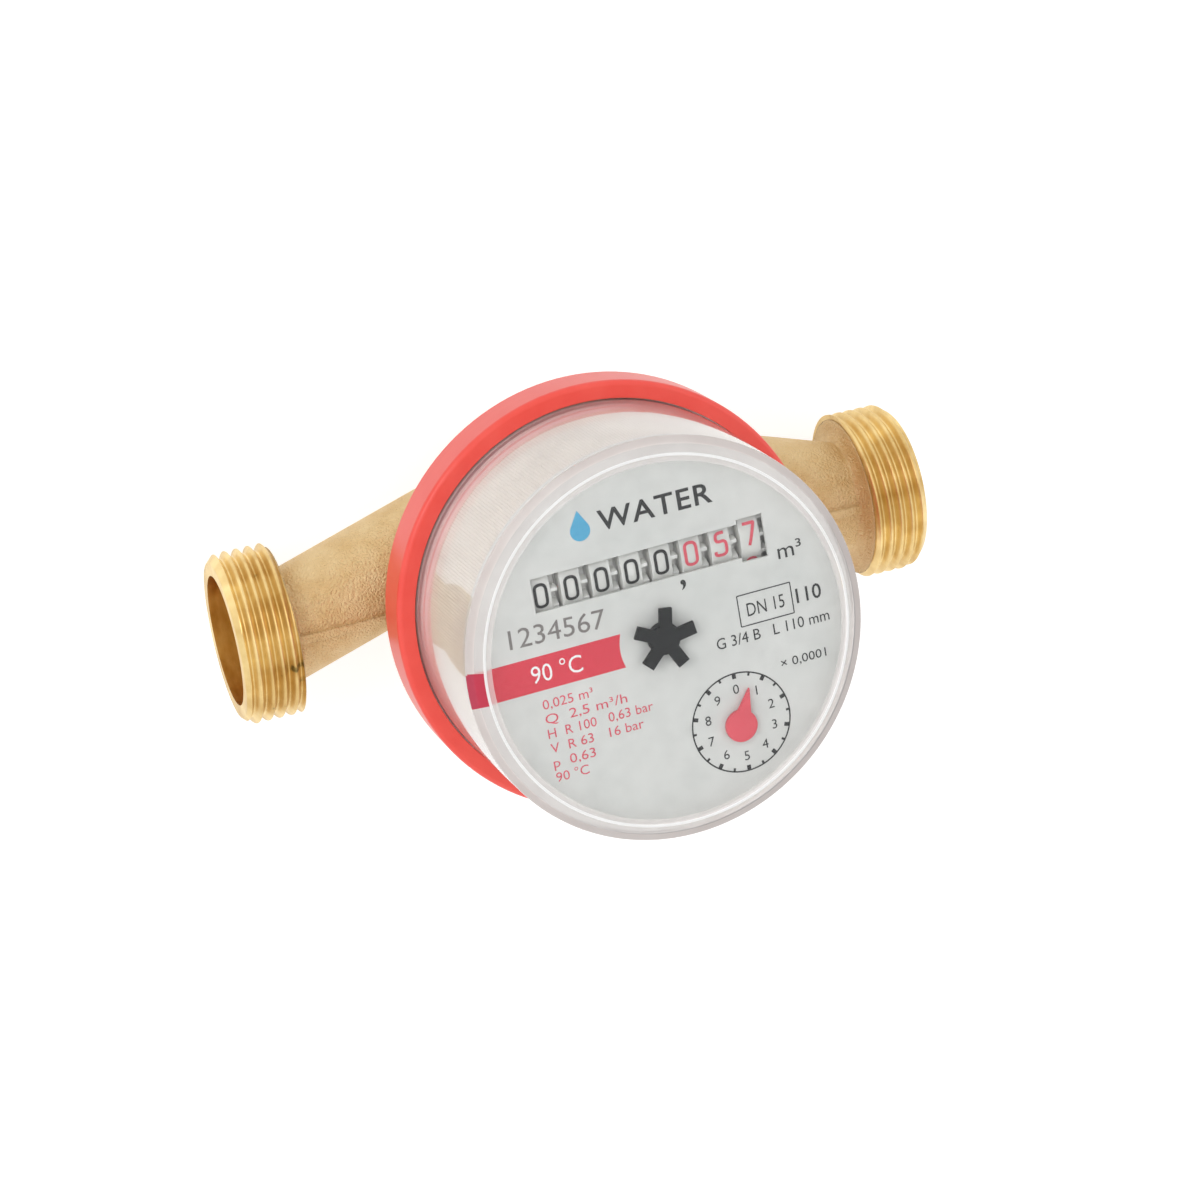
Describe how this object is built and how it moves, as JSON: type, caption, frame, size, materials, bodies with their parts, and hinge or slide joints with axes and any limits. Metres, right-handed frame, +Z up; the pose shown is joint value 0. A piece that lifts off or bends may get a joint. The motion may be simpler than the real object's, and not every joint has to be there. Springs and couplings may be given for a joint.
{
  "type": "water meter",
  "caption": "Single-jet dry-dial water meter: cast brass body with threaded ends, impeller, magnetic coupling and a turning clear register with a roller counter, star and pointer.",
  "frame": {"origin": "centre of the flat bottom, on the register axis", "axes": "+X along the pipe from inlet to outlet, +Z up through the dial"},
  "size_m": [0.11, 0.066, 0.0628],
  "materials": {
    "cast_brass": "sand-cast, machined at the threads",
    "turned_brass": "turned",
    "red_plastic": "gloss",
    "clear_plastic": "polished",
    "seal_rubber": "matte",
    "white_plastic": "matte",
    "liner_plastic": "matte",
    "frame_plastic": "matte",
    "pinion_plastic": "matte",
    "plate_plastic": "matte",
    "magnet_black": "ferrite",
    "steel": "ground",
    "dial_gray": "satin print",
    "star_black": "matte",
    "pointer_red": "satin"
  },
  "bodies": {
    "meter_body": {"brass_body": "cast_brass", "inlet_strainer": "white_plastic", "impeller_pivot": "steel", "pressure_plate": "plate_plastic", "plate_seal": "seal_rubber", "clamp_ring": "turned_brass", "collar_ring": "red_plastic"},
    "impeller_rotor": {"impeller": "white_plastic", "impeller_magnet": "magnet_black"},
    "register": {"cover": "clear_plastic", "cover_seal": "seal_rubber", "register_base": "liner_plastic", "magnet_shield": "steel", "register_liner": "liner_plastic", "bridge_plate": "frame_plastic", "counter_bracket_left": "frame_plastic", "counter_bracket_right": "frame_plastic", "counter_shaft": "steel", "carry_shaft": "steel", "dial_plate": "dial_gray"},
    "spindle_group": {"driven_magnet": "magnet_black", "spindle": "white_plastic", "star_indicator": "star_black"},
    "first_gear_group": {"first_gear": "white_plastic"},
    "pointer_group": {"pointer_gear": "white_plastic", "pointer": "pointer_red"},
    "idler_group": {"idler_gear": "white_plastic"},
    "worm_group": {"worm_shaft": "white_plastic"},
    "wheel_1": {"number_wheel_1": "white_plastic"},
    "wheel_2": {"number_wheel_2": "white_plastic"},
    "wheel_3": {"number_wheel_3": "white_plastic"},
    "wheel_4": {"number_wheel_4": "white_plastic"},
    "wheel_5": {"number_wheel_5": "white_plastic"},
    "wheel_6": {"number_wheel_6": "white_plastic"},
    "wheel_7": {"number_wheel_7": "white_plastic"},
    "wheel_8": {"number_wheel_8": "white_plastic"},
    "pinion_1": {"carry_pinion_1": "pinion_plastic"},
    "pinion_2": {"carry_pinion_2": "pinion_plastic"},
    "pinion_3": {"carry_pinion_3": "pinion_plastic"},
    "pinion_4": {"carry_pinion_4": "pinion_plastic"},
    "pinion_5": {"carry_pinion_5": "pinion_plastic"},
    "pinion_6": {"carry_pinion_6": "pinion_plastic"},
    "pinion_7": {"carry_pinion_7": "pinion_plastic"}
  },
  "joints": [
    {"name": "impeller_spin", "type": "hinge", "parent": "meter_body", "child": "impeller_rotor", "pos_m": [0, 0, 0.015], "axis": [0, 0, 1], "continuous": true},
    {"name": "register_swivel", "type": "hinge", "parent": "meter_body", "child": "register", "pos_m": [0, 0, 0.0343], "axis": [0, 0, 1], "range_deg": [-180, 180]},
    {"name": "spindle_spin", "type": "hinge", "parent": "register", "child": "spindle_group", "pos_m": [0, 0, 0.04], "axis": [0, 0, 1], "continuous": true},
    {"name": "first_gear_spin", "type": "hinge", "parent": "register", "child": "first_gear_group", "pos_m": [0.00312, -0.01076, 0.04], "axis": [0, 0, 1], "continuous": true},
    {"name": "pointer_spin", "type": "hinge", "parent": "register", "child": "pointer_group", "pos_m": [0.00979, -0.01586, 0.04], "axis": [0, 0, 1], "continuous": true},
    {"name": "idler_spin", "type": "hinge", "parent": "register", "child": "idler_group", "pos_m": [0.01807, -0.00457, 0.04], "axis": [0, 0, 1], "continuous": true},
    {"name": "worm_spin", "type": "hinge", "parent": "register", "child": "worm_group", "pos_m": [0.01971, 0.00403, 0.04], "axis": [0, 0, 1], "continuous": true},
    {"name": "wheel_8_spin", "type": "hinge", "parent": "register", "child": "wheel_8", "pos_m": [0.01564, 0.0114, 0.04995], "axis": [0.9995, 0.0314, 0], "continuous": true},
    {"name": "pinion_7_spin", "type": "hinge", "parent": "register", "child": "pinion_7", "pos_m": [0.01349, 0.00716, 0.03963], "axis": [0.9995, 0.0314, 0], "continuous": true},
    {"name": "wheel_7_spin", "type": "hinge", "parent": "register", "child": "wheel_7", "pos_m": [0.01108, 0.01125, 0.04995], "axis": [0.9995, 0.0314, 0], "continuous": true},
    {"name": "pinion_6_spin", "type": "hinge", "parent": "register", "child": "pinion_6", "pos_m": [0.00892, 0.00701, 0.03963], "axis": [0.9995, 0.0314, 0], "continuous": true},
    {"name": "wheel_6_spin", "type": "hinge", "parent": "register", "child": "wheel_6", "pos_m": [0.00651, 0.01111, 0.04995], "axis": [0.9995, 0.0314, 0], "continuous": true},
    {"name": "pinion_5_spin", "type": "hinge", "parent": "register", "child": "pinion_5", "pos_m": [0.00436, 0.00687, 0.03963], "axis": [0.9995, 0.0314, 0], "continuous": true},
    {"name": "wheel_5_spin", "type": "hinge", "parent": "register", "child": "wheel_5", "pos_m": [0.00194, 0.01097, 0.04995], "axis": [0.9995, 0.0314, 0], "continuous": true},
    {"name": "pinion_4_spin", "type": "hinge", "parent": "register", "child": "pinion_4", "pos_m": [-0.00021, 0.00673, 0.03963], "axis": [0.9995, 0.0314, 0], "continuous": true},
    {"name": "wheel_4_spin", "type": "hinge", "parent": "register", "child": "wheel_4", "pos_m": [-0.00263, 0.01082, 0.04995], "axis": [0.9995, 0.0314, 0], "continuous": true},
    {"name": "pinion_3_spin", "type": "hinge", "parent": "register", "child": "pinion_3", "pos_m": [-0.00478, 0.00658, 0.03963], "axis": [0.9995, 0.0314, 0], "continuous": true},
    {"name": "wheel_3_spin", "type": "hinge", "parent": "register", "child": "wheel_3", "pos_m": [-0.00719, 0.01068, 0.04995], "axis": [0.9995, 0.0314, 0], "continuous": true},
    {"name": "pinion_2_spin", "type": "hinge", "parent": "register", "child": "pinion_2", "pos_m": [-0.00935, 0.00644, 0.03963], "axis": [0.9995, 0.0314, 0], "continuous": true},
    {"name": "wheel_2_spin", "type": "hinge", "parent": "register", "child": "wheel_2", "pos_m": [-0.01176, 0.01054, 0.04995], "axis": [0.9995, 0.0314, 0], "continuous": true},
    {"name": "pinion_1_spin", "type": "hinge", "parent": "register", "child": "pinion_1", "pos_m": [-0.01391, 0.00629, 0.03963], "axis": [0.9995, 0.0314, 0], "continuous": true},
    {"name": "wheel_1_spin", "type": "hinge", "parent": "register", "child": "wheel_1", "pos_m": [-0.01633, 0.01039, 0.04995], "axis": [0.9995, 0.0314, 0], "continuous": true}
  ],
  "couplings": [
    {"joint": "spindle_spin", "follows": "impeller_spin", "ratio": 1},
    {"joint": "first_gear_spin", "follows": "impeller_spin", "ratio": -0.16667},
    {"joint": "pointer_spin", "follows": "impeller_spin", "ratio": 0.033333},
    {"joint": "idler_spin", "follows": "impeller_spin", "ratio": -0.033333},
    {"joint": "worm_spin", "follows": "impeller_spin", "ratio": 0.13333},
    {"joint": "wheel_8_spin", "follows": "impeller_spin", "ratio": -0.0033333},
    {"joint": "pinion_7_spin", "follows": "impeller_spin", "ratio": 0.00083333},
    {"joint": "wheel_7_spin", "follows": "impeller_spin", "ratio": -0.00033333},
    {"joint": "pinion_6_spin", "follows": "impeller_spin", "ratio": 0.000083333},
    {"joint": "wheel_6_spin", "follows": "impeller_spin", "ratio": -0.000033333},
    {"joint": "pinion_5_spin", "follows": "impeller_spin", "ratio": 0.0000083333},
    {"joint": "wheel_5_spin", "follows": "impeller_spin", "ratio": -0.0000033333},
    {"joint": "pinion_4_spin", "follows": "impeller_spin", "ratio": 0.00000083333},
    {"joint": "wheel_4_spin", "follows": "impeller_spin", "ratio": -0.00000033333},
    {"joint": "pinion_3_spin", "follows": "impeller_spin", "ratio": 0.000000083333},
    {"joint": "wheel_3_spin", "follows": "impeller_spin", "ratio": -0.000000033333},
    {"joint": "pinion_2_spin", "follows": "impeller_spin", "ratio": 0.0000000083333},
    {"joint": "wheel_2_spin", "follows": "impeller_spin", "ratio": -0.0000000033333},
    {"joint": "pinion_1_spin", "follows": "impeller_spin", "ratio": 0.00000000083333},
    {"joint": "wheel_1_spin", "follows": "impeller_spin", "ratio": -0.00000000033333}
  ]
}
